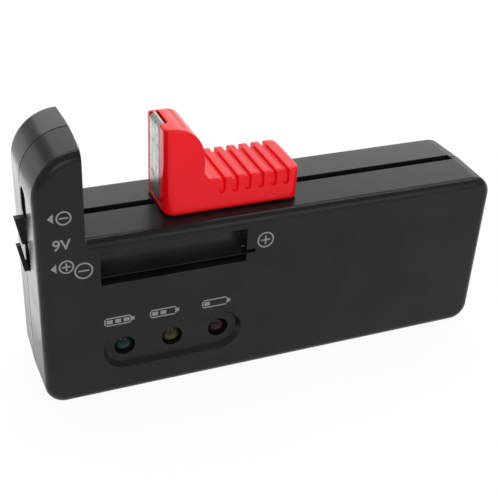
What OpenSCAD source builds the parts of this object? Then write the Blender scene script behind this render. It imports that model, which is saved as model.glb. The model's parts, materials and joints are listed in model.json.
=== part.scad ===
// Pocket battery tester: a black two-part case with a contact tower at its left end,
// a red sliding contact on top, a button cell bay and three lamps in its front face.
// The origin is at the middle of the base. +X runs to the right, +Y to the back, +Z up.

/* [Case] */
// Length of the case
case_length = 110; // [106:1:124]
// Depth of the case from front to back
case_depth = 25; // [24:0.5:31]
// Height of the case from its base to its top face
case_height = 41.5; // [41:0.2:47]
// Thickness of the outer walls
wall = 2; // [1.8:0.1:2.3]
// Radius of the outside edges
edge_radius = 2.2; // [1:0.1:2.2]
// Radius of the two lower corners seen from the front
corner_radius = 4.8; // [4.8:0.1:6]
// Radius of the upper right corner seen from the front
shoulder_radius = 4.8; // [4.8:0.1:6]
// Inward taper of the shells from the parting plane to the front and back faces
taper = 0.35; // [0.1:0.05:0.6]

/* [Contact tower] */
// Width of the tower, which is also the radius of its round shoulder
tower_width = 10.8; // [10.4:0.1:12.5]
// Height of the tower above the base
tower_height = 62; // [61.4:0.2:66]

/* [Slider slot] */
// Width of the slot along the top face
slot_width = 2.3; // [2.2:0.1:2.8]
// Solid stretch left between the slot and the right end of the case
slot_margin = 5; // [4:0.2:6.4]

/* [Slider] */
// Length of the slider
slider_length = 31.4; // [30.4:0.5:34]
// Depth of the slider from front to back
slider_depth = 16.4; // [15:0.2:18]
// Height of the ribbed part of the slider
slider_low_height = 7.3; // [6.8:0.1:9]
// Height of the upright part of the slider
slider_post_height = 19.8; // [18.4:0.1:22]
// Width of the upright part of the slider
slider_post_width = 8.9; // [8.4:0.1:9.8]
// Inward taper of the slider's front and back faces from its base to its top
slider_taper = 0.5; // [0.1:0.05:0.8]
// Radius of the upright part's round shoulder
slider_shoulder_radius = 7; // [6.4:0.1:7.4]
// Radius of the slider's vertical corners
slider_corner_radius = 2.6; // [1.4:0.1:2.9]
// Radius of the blend between the upright part and the ribbed part
slider_blend_radius = 2; // [1:0.1:2.5]
// Radius of the post's upper rear edge
slider_rear_radius = 5; // [3:0.5:6]
// Distance from the tower to the slider's pad as drawn
slider_gap = 18.2; // [17:0.2:21]
// Running clearance around the slider
slide_clearance = 0.3; // [0.25:0.05:0.35]
// Depth of the slider's foot under the top wall
foot_depth = 8.4; // [7.4:0.2:8.8]
// Thickness of the slider's foot
foot_height = 1.9; // [1.6:0.1:2.4]
// Distance that the foot ends short of the slider at each end
foot_inset = 2; // [1.8:0.1:3]

/* [Finger grooves] */
// Number of finger grooves
groove_count = 6; // [4:1:6]
// Distance between two grooves
groove_pitch = 3.02; // [2.8:0.02:3.1]
// Width of one groove
groove_width = 1.3; // [1.1:0.1:1.6]
// Depth of the grooves
groove_depth = 0.9; // [0.6:0.1:1.1]
// Length of the grooves down the sides of the slider
groove_drop = 3.6; // [3:0.1:4.5]
// Solid stretch between the last groove and the slider's right end
groove_margin = 2.8; // [2.2:0.1:3.2]

/* [Contact strips] */
// Thickness of the metal strips
strip = 0.4; // [0.3:0.05:0.5]
// Width of the two large battery contacts
pad_width = 6.4; // [5:0.1:8]
// Width of the narrow strips and of the strip through the slot
tail_width = 1.6; // [1.4:0.1:1.7]
// Width of the contact rail under the slider
rail_width = 5; // [4:0.2:6]
// Height that the wiper reaches down from the slider's foot
wiper_drop = 2; // [1.6:0.1:2.6]
// Length of the wiper
wiper_length = 12; // [10:0.5:14]

/* [Button cell bay] */
// Distance from the left end of the case to the bay
bay_left = 13.4; // [13:0.2:16]
// Width of the bay
bay_width = 33; // [30:0.5:36]
// Height of the bay
bay_height = 8.3; // [7.8:0.1:8.9]
// Depth of the bay at its top
bay_depth = 5.8; // [5.2:0.1:6]
// Distance from the top face of the case to the bay
bay_drop = 3.1; // [2.8:0.1:3.6]
// Height of the groove along the bottom of the bay
bay_groove = 1.4; // [1.1:0.1:1.6]
// Thickness of the walls behind the bay
bay_wall = 1.6; // [1.2:0.1:1.8]
// Length of the slit at the right end of the bay
slit_length = 2.1; // [1.6:0.1:2.4]
// Height of the slit
slit_height = 0.9; // [0.8:0.05:1.2]

/* [Nine volt contacts] */
// Distance between the two snap contacts
snap_pitch = 12.7; // [12:0.1:13]
// Distance from the start of the tower's shoulder down to the upper snap window's middle
snap_drop = 4; // [3.8:0.1:4.6]
// Height of one snap window
window_height = 7.4; // [7:0.1:7.6]
// Width of one snap window
window_width = 4.4; // [3.6:0.1:4.6]
// Distance that the snap hooks stand off the wall
hook_reach = 1.9; // [1.4:0.1:2.4]
// Length of a snap hook
hook_length = 6.4; // [5.8:0.1:6.5]
// Width of a snap hook from front to back
hook_width = 1.6; // [1.4:0.1:2.4]
// Distance between the tops of the two snap hooks
hook_pitch = 6.8; // [6.6:0.1:7.4]

/* [Lamps] */
// Diameter of a lamp
led_diameter = 5; // [4.6:0.1:5.2]
// Length of a lamp from its flange to the tip of its dome
led_length = 7.6; // [7:0.1:8]
// Distance between two lamps
led_pitch = 11.1; // [10.4:0.1:12]
// Distance from the left end of the case to the first lamp
led_left = 18.5; // [17.8:0.1:20]
// Height of the lamps above the base
led_height = 12.2; // [11.8:0.1:13.6]
// Radius of the recess around the lamps at the front face
recess_radius = 5.2; // [5:0.1:5.6]
// Depth of the recess
recess_depth = 1.3; // [1:0.1:1.5]
// Width of the sloping edge of the recess
recess_slope = 0.9; // [0.5:0.1:1.2]

/* [Circuit board] */
// Length of the circuit board
board_length = 67; // [66:1:72]
// Gap between the upper edge of the board and the bay above it
board_gap = 1.7; // [1.2:0.1:2.4]
// Thickness of the circuit board
board = 1.6; // [1.2:0.1:1.6]
// Distance from the left end of the case to the board
board_left = 10.4; // [10.2:0.2:12]
// Distance from the base to the lower edge of the board
board_base = 4.6; // [4.2:0.2:5]
// Radius of the two board screws
board_screw_radius = 1; // [0.8:0.05:1.1]

/* [Case screws] */
// Radius of the case screws
screw_radius = 1.25; // [1.1:0.05:1.4]
// Radius of the screw heads
screw_head_radius = 2.5; // [2.3:0.1:2.7]
// Height of the screw heads
screw_head_height = 1.8; // [1.5:0.1:2.2]
// Thickness of plastic under a screw head
screw_seat = 4; // [3:0.2:5]
// Length of a case screw under its head
screw_length = 13; // [11:0.5:14]
// Distance from the ends of the case to the case screws
screw_inset = 6.2; // [6:0.1:6.6]
// Height of the two lower case screws above the base
screw_low = 8.4; // [8:0.1:9]
// Height of the upper case screw above the base
screw_high = 26; // [24:0.5:27]

/* [Small parts] */
// Length of the control chip
chip_length = 9.8; // [9:0.1:11]
// Height of the control chip
chip_height = 6.4; // [6:0.1:7]
// Length of a small resistor's body
resistor_length = 6.2; // [5.6:0.1:7]
// Radius of a small resistor's body
resistor_radius = 1.15; // [1:0.05:1.3]
// Length of a load resistor's body
load_length = 11; // [10:0.5:12]
// Radius of a load resistor's body
load_radius = 2.1; // [1.8:0.1:2.3]
// Radius of the capacitor
capacitor_radius = 2.5; // [2:0.1:2.8]
// Height of the capacitor
capacitor_height = 7; // [6:0.5:8]
// Outer radius of the choke
choke_radius = 3; // [2.6:0.1:3.4]
// Radius of the insulated leads
lead_radius = 0.6; // [0.5:0.05:0.7]

/* [Hidden] */
$fn = 72;

// Outside faces of the case
left = -case_length / 2;
right = case_length / 2;
front = -case_depth / 2;
back = case_depth / 2;
inner_front = front + wall;
inner_back = back - wall;
roof = case_height - wall;
past = 1;                       // how far a cut runs past a face
bond = 0.5;                     // how far a rib or post reaches into its wall
seam = 0.1;                     // overlap that joins two shapes of one piece
least_radius = 0.4;             // least radius of the hollow's upper right corner
seam_band = 0.4;                // half width of the straight band along the parting plane
seam_cut = 0.2;                 // depth and half width of the groove along the parting plane
taper_slope = taper / (back - seam_band);
edge_bite = 0.01;               // how far the tapered faces run into the rounded edges

// Tower
tower_face = left + tower_width;
shoulder_axis = tower_height - tower_width;
pad_lift = 1.5;                 // height of a pad's lower edge above the case
pad_base = case_height + pad_lift;
pad_crown = 1.6;                // distance from the tower's top down to its pad
tower_pad_top = tower_height - pad_crown;
pad_hook = 1.3;                 // how far the tower pad's bent end reaches into the plastic
pad_fit = 0.15;                 // play around a pad's bent ends
pad_seat = 0.4;                 // width of the flat left beside the tower's pad

// Slider and its travel
slider_left = tower_face + slider_gap;
slider_right = slider_left + slider_length;
slider_base = case_height + slide_clearance;
slider_low_top = slider_base + slider_low_height;
slider_top = slider_base + slider_post_height;
post_right = slider_left + slider_post_width;
slot_right = right - slot_margin;
slider_end_radius = 0.8;        // radius of the ribbed part's right edge
neck_depth = slot_width - 2 * slide_clearance;
foot_top = roof - slide_clearance;
foot_base = foot_top - foot_height;
foot_left = slider_left + foot_inset;
foot_right = slider_right - foot_inset;
pad_bend = 0.8;                 // width of the sloping bend at the top of the slider's pad
pad_bend_height = 1.05;         // height of that bend
pad_crest = slider_top - 0.1;   // top of the bend
pad_lap = 1.5;                  // how far the bent end turns down into the notch
slider_pad_top = pad_crest - pad_bend_height;
notch_width = 1.8;              // width of the notch that the bent end turns down into
notch_base = pad_crest - pad_lap - 2 * pad_fit;
slider_pad_base = case_height + pad_lift;
tail_inset = 1.2;               // distance from the slider's left face to its contact's tail
tail_left = slider_left + tail_inset;
wiper_inset = 2;                // distance from the foot's left end to the wiper's root
wiper_start = foot_left + wiper_inset;
wiper_tip = foot_left + wiper_length;
wiper_low = foot_base - wiper_drop;
wiper_lift = 0.6;               // rise of the wiper's turned-up end
wiper_end = 1.5;                // length of that end

// Contact rail and the ribs that carry it
rail_top = wiper_low - slide_clearance;
rail_base = rail_top - strip;
rail_spare = 1;                 // length of rail left past the wiper at each limit
rail_left = wiper_tip - slider_gap - rail_spare;
rail_right = slot_right - foot_right + wiper_tip + wiper_end + rail_spare;
rail_rib = 1.6;
rail_rib_height = 2.4;
rail_rib_inset = 3;
rail_rib_reach = 1;             // how far a rib reaches past the rail's front edge
rail_ribs = [rail_left + rail_rib_inset, (rail_left + rail_right) / 2, rail_right - rail_rib_inset];

// Button cell bay
bay_x0 = left + bay_left;
bay_x1 = bay_x0 + bay_width;
bay_z1 = case_height - bay_drop;
bay_z0 = bay_z1 - bay_height;
bay_back = front + bay_depth;
bay_lip = 0.7;                  // depth of the bay just above its groove
bay_hollow = 1.2;               // hollow of the bay's ramp between its lip and its back
slit_lift = 0.55;               // height of the slit above the bay's groove
slit_z = bay_z0 + bay_groove + slit_lift;
bay_fit = 0.1;                  // play around the strips that leave the bay
bay_tail = 4;                   // distance from the bay's left end to the negative strip's tail
bay_strip_height = bay_groove - 4 * bay_fit;
bay_strip_z = bay_z0 + 2 * bay_fit;
bay_strip_inset = 1;            // distance from the bay's ends to the negative strip
tail_reach = 2;                 // how far the strips' tails stand out behind the bay
tail_back = bay_back + bay_wall + tail_reach;
plus_stand = 0.3;               // how far the positive strip stands out into the bay
plus_setback = 0.4;             // how far it lies behind the inside of the front wall

// Nine volt contacts
window_inset = 0.6;             // distance from the parting plane to the windows
window_y = -window_inset - window_width / 2;
snap_heights = [shoulder_axis - snap_drop, shoulder_axis - snap_drop - snap_pitch];
snap_plate_edge = 1.3;          // how far a snap plate reaches below its window
snap_plate_side = 0.7;          // how far it reaches past the window's sides
dimple_radius = 1.8;
dimple_height = 1.2;
hook_gap = 0.5;                 // distance from the upper window down to the upper hook
hook_top = snap_heights[0] - window_height / 2 - hook_gap;
hook_root = 0.7;
hook_finger = 0.95;
hook_foot = 2;                  // height at which the lower hook's finger leaves the wall
hook_slot = 0.15;               // width of the slot at the foot of that finger

// Lamps
led_radius = led_diameter / 2;
led_colors = ["darkgreen", "olive", "darkred"];
led_pad = 1;                    // extra wall behind the lamp recess
led_seat = inner_front + led_pad;
led_fit = 0.1;                  // play around a lamp's dome in its hole
led_hole = led_radius - led_fit;
led_bite = sqrt(pow(led_radius, 2) - pow(led_hole - led_fit, 2));
led_center = led_seat + led_bite;
led_tip = led_center - led_radius;
led_back = led_tip + led_length;
led_flange = 1;
led_flange_rim = 0.4;
led_leg_radius = 0.3;
led_leg_pitch = 2.54;
led_leg_tail = 1.5;
recess_floor_radius = recess_radius - recess_slope;

// Circuit board
board_front = led_back;
board_back = board_front + board;
board_x0 = left + board_left;
board_x1 = board_x0 + board_length;
board_z0 = board_base;
board_z1 = bay_z0 - bay_wall - board_gap;
leg_fit = 0.15;                 // play around legs and screws in the board
board_spot = 4;                 // distance from the board's edges to its screws
board_spots = [[board_x0 + board_spot, board_z0 + board_spot],
               [board_x1 - board_spot, board_z1 - board_spot]];
post_wall = 1.3;                // wall around a screw in its post
board_post_radius = board_screw_radius + post_wall;
board_screw_rim = 0.9;          // how far a board screw's head reaches past its shank
board_screw_head = board_screw_radius + board_screw_rim;
board_screw_head_height = 1.3;
board_screw_bite = 4.4;         // length of a board screw in its post
board_screw_length = board + board_screw_bite;
thread_fit = 0.05;              // play around a screw in its post

// Case screws
screw_spots = [[left + screw_inset, screw_low], [right - screw_inset, screw_low],
               [right - screw_inset, screw_high]];
screw_tip = screw_seat - screw_length;
head_fit = 0.3;                 // play around a case screw's head and shank
rear_post_wall = 1;             // wall around a case screw's head
rear_post_radius = screw_head_radius + head_fit + rear_post_wall;
front_post_wall = 1.6;          // wall around a case screw's thread
front_post_radius = screw_radius + front_post_wall;
screw_drive = 0.6;              // width of the cross in a screw's head
screw_drive_reach = 0.6;        // half length of the cross as a share of the head's radius

// Parts on the board
chip_depth = 2.2;
chip_pins = 4;
chip_pin = 0.6;
chip_pin_reach = 0.5;           // how far the pins stand out from the chip
chip_x = led_x(2) + led_pitch / 2;
part_gap = 1.2;                 // least gap between parts on the board
lift = 0.3;                     // gap under a part that stands on its leads
lead_wire = 0.3;
lead_reach = 1.4;
resistor_rise = 4.3;            // height of the resistors above or below the lamps
resistor_spots = [for (i = [0.5, 1.5]) for (s = [-1, 1]) [led_x(i), led_height + s * resistor_rise]];
choke_height = 5;
choke_waist = 0.8;
choke_rim = 0.9;
choke_x = chip_x + chip_length / 2;
choke_z = board_z0 + choke_radius + lift;
chip_z = choke_z + choke_radius + part_gap;
load_x = chip_x + chip_length + part_gap + lead_reach + load_length / 2;
load_z = board_z0 + part_gap + load_radius;
load_spots = [[load_x, load_z], [load_x, load_z + part_gap + 2 * load_radius]];
capacitor_x = load_x + load_length / 2 + lead_reach + part_gap + capacitor_radius;
capacitor_z = board_z0 + part_gap + capacitor_radius;

// Insulated leads
solder_gap = 0.1;
wire_y = board_back + lead_radius + solder_gap;
wire_edge = 2;                  // distance from the board's upper edge to most solder points
wire_step = 4;                  // distance between the snap leads' solder points
wire_rise = 2.5;                // height above the board at which a lead turns down to it

function led_x(i) = left + led_left + i * led_pitch;
function arc(cx, cy, r, a0, a1, n) =
    [for (i = [0 : n]) let(a = a0 + (a1 - a0) * i / n) [cx + r * cos(a), cy + r * sin(a)]];

// A flat shape in X and Z, drawn out along Y
module along_y(y0, y1) {
    translate([0, y1, 0]) rotate([90, 0, 0]) linear_extrude(y1 - y0) children();
}

// A flat shape in Y and Z, drawn out along X
module along_x(x0, x1) {
    translate([x0, 0, 0]) rotate([90, 0, 90]) linear_extrude(x1 - x0) children();
}

// A rod along Y
module rod_y(x, z, r, y0, y1) {
    translate([x, y1, z]) rotate([90, 0, 0]) cylinder(r = r, h = y1 - y0);
}

module block(x0, x1, y0, y1, z0, z1) {
    translate([x0, y0, z0]) cube([x1 - x0, y1 - y0, z1 - z0]);
}

module panel(x0, x1, y0, y1) {
    translate([x0, y0]) square([x1 - x0, y1 - y0]);
}

// A flat rectangle with round corners
module round_panel(x0, x1, y0, y1, r) {
    panel(x0 + r, x1 - r, y0, y1);
    panel(x0, x1, y0 + r, y1 - r);
    for (x = [x0 + r, x1 - r])
        for (y = [y0 + r, y1 - r])
            translate([x, y]) circle(r);
}

// The case seen from the front, drawn in by d on every side
module case_outline(d) {
    low = corner_radius - d;
    high = shoulder_radius - min(d, shoulder_radius - least_radius);
    top = case_height - d;
    panel(left + d + low, right - d - low, d, top);
    panel(left + d, right - d, d + low, top - high);
    panel(left + d, right - d - high, d + low, top);
    for (x = [left + d + low, right - d - low])
        translate([x, d + low]) circle(low);
    translate([right - d - high, top - high]) circle(high);
    panel(left + d, tower_face - d, d + low, shoulder_axis);
    intersection() {
        translate([tower_face, shoulder_axis]) circle(tower_width - d);
        panel(left + d, tower_face - d, shoulder_axis, tower_height);
    }
}

// A section across the parting plane: a fine groove along it, then tapered on both
// sides, with rounded edges at the front and back faces, and a given depth below
module tapered_edge(reach, depth = 0) {
    axis = back - edge_radius;
    r = edge_radius - edge_bite;
    axis_reach = reach - taper_slope * (axis - seam_band) - r * sqrt(1 + pow(taper_slope, 2));
    turn = atan(taper_slope);
    touch = [axis + r * sin(turn), axis_reach + r * cos(turn)];
    polygon([[front, -depth], [front, axis_reach], [-touch[0], touch[1]], [-seam_band, reach],
             [-seam_cut, reach], [0, reach - seam_cut], [seam_cut, reach],
             [seam_band, reach], touch, [back, axis_reach], [back, -depth]]);
    for (s = [-1, 1])
        translate([s * axis, axis_reach]) circle(edge_radius);
}

// A quarter of a disc across the parting plane, with rounded rims, towards sx and sz
module rim_corner(x, z, r, sx, sz) {
    intersection() {
        translate([x, 0, z]) rotate([90, 0, 0]) rotate_extrude() rotate(-90) tapered_edge(r);
        translate([sx > 0 ? x : x - r - past, front - past, sz > 0 ? z : z - r - past])
            cube([r + past, case_depth + 2 * past, r + past]);
    }
}

// Two thin wedges that taper the tower's right face beside its pad
module tower_taper() {
    seat = pad_width / 2 + pad_seat;
    for (s = [-1, 1])
        translate([0, 0, case_height]) linear_extrude(tower_height - case_height + past)
            polygon([[tower_face, s * seat], [tower_face - taper, s * back],
                     [tower_face - taper, s * (back + past)], [tower_face + past, s * (back + past)],
                     [tower_face + past, s * seat]]);
}

// The outside of the whole case, with rounded edges and a flat base
module case_solid() {
    low_x = corner_radius;
    low_z = corner_radius - taper;
    high_x = right - shoulder_radius;
    high_z = case_height - shoulder_radius;
    difference() {
        union() {
            along_x(left + low_x, high_x) intersection() {
                tapered_edge(case_height);
                translate([0, low_z]) mirror([0, 1]) tapered_edge(corner_radius, case_height);
            }
            translate([0, 0, low_z]) linear_extrude(high_z - low_z) rotate(-90) tapered_edge(right);
            translate([0, 0, low_z]) linear_extrude(shoulder_axis - low_z) intersection() {
                rotate(90) tapered_edge(-left);
                panel(left - past, tower_face, front - past, back + past);
            }
            rim_corner(left + low_x, low_z, corner_radius, -1, -1);
            rim_corner(right - low_x, low_z, corner_radius, 1, -1);
            rim_corner(high_x, high_z, shoulder_radius, 1, 1);
            rim_corner(tower_face, shoulder_axis, tower_width, -1, 1);
        }
        tower_taper();
        block(left - past, right + past, front - past, back + past, -past - taper, 0);
    }
}

module case_hollow() {
    along_y(inner_front, inner_back) case_outline(wall);
}

module half_space(y0, y1) {
    block(left - past, right + past, y0, y1, -past, tower_height + past);
}

// The slot that the slider's neck runs in
module slider_slot() {
    block(tower_face, slot_right, -slot_width / 2, slot_width / 2, roof - past, case_height + past);
}

// The pocket in the tower's face for the bent end of its pad
module pad_pocket() {
    block(tower_face - pad_hook - pad_fit, tower_face + past,
          -pad_width / 2 - pad_fit, pad_width / 2 + pad_fit,
          tower_pad_top - strip - pad_fit, tower_pad_top + pad_fit);
}

// The bay seen from the left: a hollow ramp that deepens upwards, over a groove
module bay_profile() {
    lip = front + bay_lip;
    run = bay_back - lip;
    rise = bay_z1 - bay_z0 - bay_groove;
    span = norm([run, rise]);
    r = (pow(span / 2, 2) + pow(bay_hollow, 2)) / (2 * bay_hollow);
    tilt = atan2(rise, run);
    polygon([[front - past, bay_z0], [bay_back, bay_z0], [bay_back, bay_z0 + bay_groove],
             [lip, bay_z0 + bay_groove], [bay_back, bay_z1], [front - past, bay_z1]]);
    translate([lip, bay_z0 + bay_groove]) rotate(tilt) intersection() {
        translate([span / 2, r - bay_hollow]) circle(r);
        panel(0, span, -bay_hollow - past, 0);
    }
}

module bay_housing() {
    block(bay_x0 - bay_wall, bay_x1 + slit_length + bay_wall, inner_front - bond,
          bay_back + bay_wall, bay_z0 - bay_wall, roof + bond);
}

module bay_cuts() {
    along_x(bay_x0, bay_x1) bay_profile();
    block(bay_x1 - plus_stand - bay_fit, bay_x1 + slit_length, front - past, bay_back + bay_wall + past,
          slit_z, slit_z + slit_height);
    block(bay_x0 + bay_tail - bay_fit, bay_x0 + bay_tail + tail_width + bay_fit,
          bay_back - past, bay_back + bay_wall + past,
          bay_strip_z - bay_fit, bay_strip_z + bay_strip_height + bay_fit);
}

// The long shallow recess around the lamps, with sloping sides
module lamp_recess() {
    floor_y = front + recess_depth;
    for (x = [led_x(0), led_x(2)])
        translate([x, floor_y, led_height]) rotate([90, 0, 0])
            cylinder(r1 = recess_floor_radius, r2 = recess_radius, h = recess_depth);
    along_x(led_x(0), led_x(2)) polygon([
        [floor_y, led_height - recess_floor_radius], [floor_y, led_height + recess_floor_radius],
        [front, led_height + recess_radius], [front, led_height - recess_radius]]);
    for (i = [0 : 2])
        rod_y(led_x(i), led_height, led_hole, front - past, led_seat + past);
}

module lamp_pad() {
    for (x = [led_x(0), led_x(2)])
        rod_y(x, led_height, recess_radius, inner_front - bond, led_seat);
    block(led_x(0), led_x(2), inner_front - bond, led_seat,
          led_height - recess_radius, led_height + recess_radius);
}

// One upright window in the left wall for a snap contact
module snap_window(z) {
    r = window_width / 2;
    straight = window_height / 2 - r;
    along_x(left - past, left + wall + past) {
        panel(window_y - r, window_y + r, z - straight, z + straight);
        for (s = [-1, 1])
            translate([window_y, z + s * straight]) circle(r);
    }
}

// The upper hook stands against the wall, the lower one stands free as a finger
module snap_hooks() {
    for (i = [0, 1]) {
        top = hook_top - i * hook_pitch;
        base = top - hook_length;
        inner = i == 0
            ? [[left + bond, top]]
            : [[left - hook_reach + hook_finger, top], [left - hook_slot, base + hook_foot],
               [left + bond, base + hook_foot]];
        along_y(-hook_width, 0) polygon(concat(
            [[left + bond, base], [left - hook_root, base], [left - hook_reach, top]], inner));
    }
}

module front_shell() {
    color("#26262a") difference() {
        union() {
            difference() {
                intersection() {
                    case_solid();
                    half_space(front - past, 0);
                }
                case_hollow();
                for (z = snap_heights)
                    snap_window(z);
            }
            bay_housing();
            lamp_pad();
            snap_hooks();
            for (p = board_spots)
                rod_y(p[0], p[1], board_post_radius, inner_front - bond, board_front);
            for (p = screw_spots)
                rod_y(p[0], p[1], front_post_radius, inner_front - bond, 0);
        }
        bay_cuts();
        lamp_recess();
        slider_slot();
        pad_pocket();
        for (p = board_spots)
            rod_y(p[0], p[1], board_screw_radius + thread_fit,
                  board_back - board_screw_length - thread_fit, board_front + past);
        for (p = screw_spots)
            rod_y(p[0], p[1], screw_radius + thread_fit, screw_tip - thread_fit, past);
    }
}

module rear_shell() {
    color("#26262a") difference() {
        union() {
            difference() {
                intersection() {
                    case_solid();
                    half_space(0, back + past);
                }
                case_hollow();
            }
            for (p = screw_spots)
                rod_y(p[0], p[1], rear_post_radius, 0, inner_back + bond);
            for (x = rail_ribs)
                block(x - rail_rib / 2, x + rail_rib / 2, -rail_width / 2 - rail_rib_reach,
                      inner_back + bond, rail_base - rail_rib_height, rail_base);
        }
        slider_slot();
        pad_pocket();
        for (p = screw_spots) {
            rod_y(p[0], p[1], screw_radius + head_fit, -past, screw_seat + past);
            rod_y(p[0], p[1], screw_head_radius + head_fit, screw_seat, back + past);
        }
    }
}

// A round-headed screw along Y, with its seat at y and its point towards the front
module screw(x, y, z, r, head_r, head_h, length, drive) {
    difference() {
        union() {
            rod_y(x, z, r, y - length + r, y + seam);
            translate([x, y - length + r, z]) rotate([90, 0, 0]) cylinder(r1 = r, r2 = r / 3, h = r);
            rod_y(x, z, head_r, y, y + head_h);
        }
        for (turn = [0, 90])
            translate([x, y + head_h, z]) rotate([0, turn, 0])
                cube([2 * screw_drive_reach * head_r, head_h, drive], center = true);
    }
}

module case_screws() {
    color("silver") for (p = screw_spots)
        screw(p[0], screw_seat, p[1], screw_radius, screw_head_radius, screw_head_height,
              screw_length, screw_drive);
}

module board_screws() {
    color("silver") for (p = board_spots)
        screw(p[0], board_back, p[1], board_screw_radius, board_screw_head,
              board_screw_head_height, board_screw_length, screw_drive);
}

module circuit_board() {
    color("#2f6b45") difference() {
        block(board_x0, board_x1, board_front, board_back, board_z0, board_z1);
        for (p = board_spots)
            rod_y(p[0], p[1], board_screw_radius + leg_fit, board_front - past, board_back + past);
        for (i = [0 : 2])
            for (s = [-0.5, 0.5])
                rod_y(led_x(i) + s * led_leg_pitch, led_height, led_leg_radius + leg_fit,
                      board_front - past, board_back + past);
    }
}

module led(i) {
    color(led_colors[i]) {
        intersection() {
            translate([led_x(i), led_center, led_height]) sphere(r = led_radius);
            rod_y(led_x(i), led_height, led_diameter, led_tip - past, led_center);
        }
        rod_y(led_x(i), led_height, led_radius, led_center, led_back);
        rod_y(led_x(i), led_height, led_radius + led_flange_rim, led_back - led_flange, led_back);
        for (s = [-0.5, 0.5])
            rod_y(led_x(i) + s * led_leg_pitch, led_height, led_leg_radius,
                  led_back - seam, board_back + led_leg_tail);
    }
}

module control_chip() {
    pin_pitch = chip_length / chip_pins;
    color("#202020") {
        block(chip_x, chip_x + chip_length, board_back + lift, board_back + lift + chip_depth,
              chip_z, chip_z + chip_height);
        for (i = [0 : chip_pins - 1])
            for (z = [chip_z, chip_z + chip_height])
                translate([chip_x + (i + 0.5) * pin_pitch, 0, z])
                    block(-chip_pin / 2, chip_pin / 2, board_back, board_back + lift + chip_depth / 2,
                          -chip_pin_reach, chip_pin_reach);
    }
}

// A resistor that lies along X, a little above the board on its two bent leads
module resistor(x, z, r, length) {
    y = board_back + lift + r;
    reach = length / 2 + lead_reach;
    translate([x - length / 2, y, z]) rotate([0, 90, 0]) cylinder(r = r, h = length);
    translate([x - reach, y, z]) rotate([0, 90, 0]) cylinder(r = lead_wire, h = 2 * reach);
    for (s = [-1, 1])
        rod_y(x + s * (reach - lead_wire), z, lead_wire, board_back, y);
}

module small_resistors() {
    color("tan") for (p = resistor_spots)
        resistor(p[0], p[1], resistor_radius, resistor_length);
}

module load_resistors() {
    color("#8fa8a0") for (p = load_spots)
        resistor(p[0], p[1], load_radius, load_length);
}

module capacitor() {
    color("#1d2a55") rod_y(capacitor_x, capacitor_z, capacitor_radius,
                           board_back, board_back + capacitor_height);
}

module choke() {
    color("#5a3320") translate([choke_x, board_back, choke_z]) rotate([-90, 0, 0])
        rotate_extrude() {
            panel(0, choke_radius - choke_waist, 0, choke_height);
            panel(0, choke_radius, 0, choke_rim);
            panel(0, choke_radius, choke_height - choke_rim, choke_height);
        }
}

module tower_contact() {
    color("silver") {
        block(tower_face, tower_face + strip, -pad_width / 2, pad_width / 2, pad_base, tower_pad_top);
        block(tower_face - pad_hook, tower_face + strip, -pad_width / 2, pad_width / 2,
              tower_pad_top - strip, tower_pad_top);
        block(tower_face, tower_face + strip, -tail_width / 2, tail_width / 2,
              wiper_low, pad_base);
    }
}

module contact_rail() {
    color("silver") block(rail_left, rail_right, -rail_width / 2, rail_width / 2, rail_base, rail_top);
}

// A snap contact behind its window, with a round dimple that stands in the window
module snap_contact(z) {
    face = left + wall;
    color("silver") {
        block(face, face + strip, window_y - window_width / 2 - snap_plate_side,
              window_y + window_width / 2 + snap_plate_side,
              z - window_height / 2 - snap_plate_edge, z + snap_drop);
        intersection() {
            translate([face + dimple_radius - dimple_height, window_y, z]) sphere(r = dimple_radius);
            block(face - dimple_height - past, face + strip / 2, window_y - dimple_radius,
                  window_y + dimple_radius, z - dimple_radius, z + dimple_radius);
        }
    }
}

module nine_volt_negative_contact() {
    snap_contact(snap_heights[0]);
}

module nine_volt_positive_contact() {
    snap_contact(snap_heights[1]);
}

module button_cell_negative_contact() {
    x = bay_x0 + bay_tail;
    color("silver") {
        block(bay_x0 + bay_strip_inset, bay_x1 - bay_strip_inset, bay_back - strip, bay_back,
              bay_strip_z, bay_strip_z + bay_strip_height);
        block(x, x + tail_width, bay_back - strip, tail_back,
              bay_strip_z, bay_strip_z + bay_strip_height);
    }
}

module button_cell_positive_contact() {
    z = slit_z + (slit_height - strip) / 2;
    color("silver") block(bay_x1 - plus_stand, bay_x1 + slit_length - bay_fit,
                          inner_front + plus_setback, tail_back, z, z + strip);
}

// An insulated lead along a few straight stretches
module lead(points) {
    for (i = [0 : len(points) - 2])
        hull() {
            translate(points[i]) sphere(r = lead_radius, $fn = 16);
            translate(points[i + 1]) sphere(r = lead_radius, $fn = 16);
        }
}

module tower_lead() {
    x = tower_face + strip / 2;
    color("black") lead([[x, 0, wiper_low - lead_radius - solder_gap], [x, 0, board_z1 + wire_rise],
                         [board_x0 + board_spot, wire_y, board_z1 - wire_edge]]);
}

module rail_lead() {
    x = rail_left + 2 * lead_radius;
    color("firebrick") lead([[x, 0, rail_base - lead_radius - solder_gap],
                             [x - lead_radius, 0, board_z1 + wire_rise],
                             [x - 2 * lead_radius, wire_y, board_z1 - wire_edge]]);
}

// A lead from the back of the snap contact at height z to the board
module snap_lead(z, solder_z) {
    start = [left + wall + strip + lead_radius + solder_gap, window_y + window_width / 2,
             z - window_height / 2];
    end = [board_x0 + 2 * lead_radius, wire_y, solder_z];
    lead([start, [(start[0] + end[0]) / 2, wire_y / 2, (start[2] + end[2]) / 2], end]);
}

module nine_volt_leads() {
    upper = board_z1 - wire_edge - wire_step;
    color("black") {
        snap_lead(snap_heights[0], upper);
        snap_lead(snap_heights[1], upper - wire_step);
    }
}

// A lead that drops from a strip's tail behind the bay to the board below it
module bay_lead(x, z) {
    y = tail_back + lead_radius + solder_gap;
    lead([[x, y, z], [x, wire_y / 2, board_z1 + wire_edge], [x, wire_y, board_z1 - wire_edge]]);
}

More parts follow.
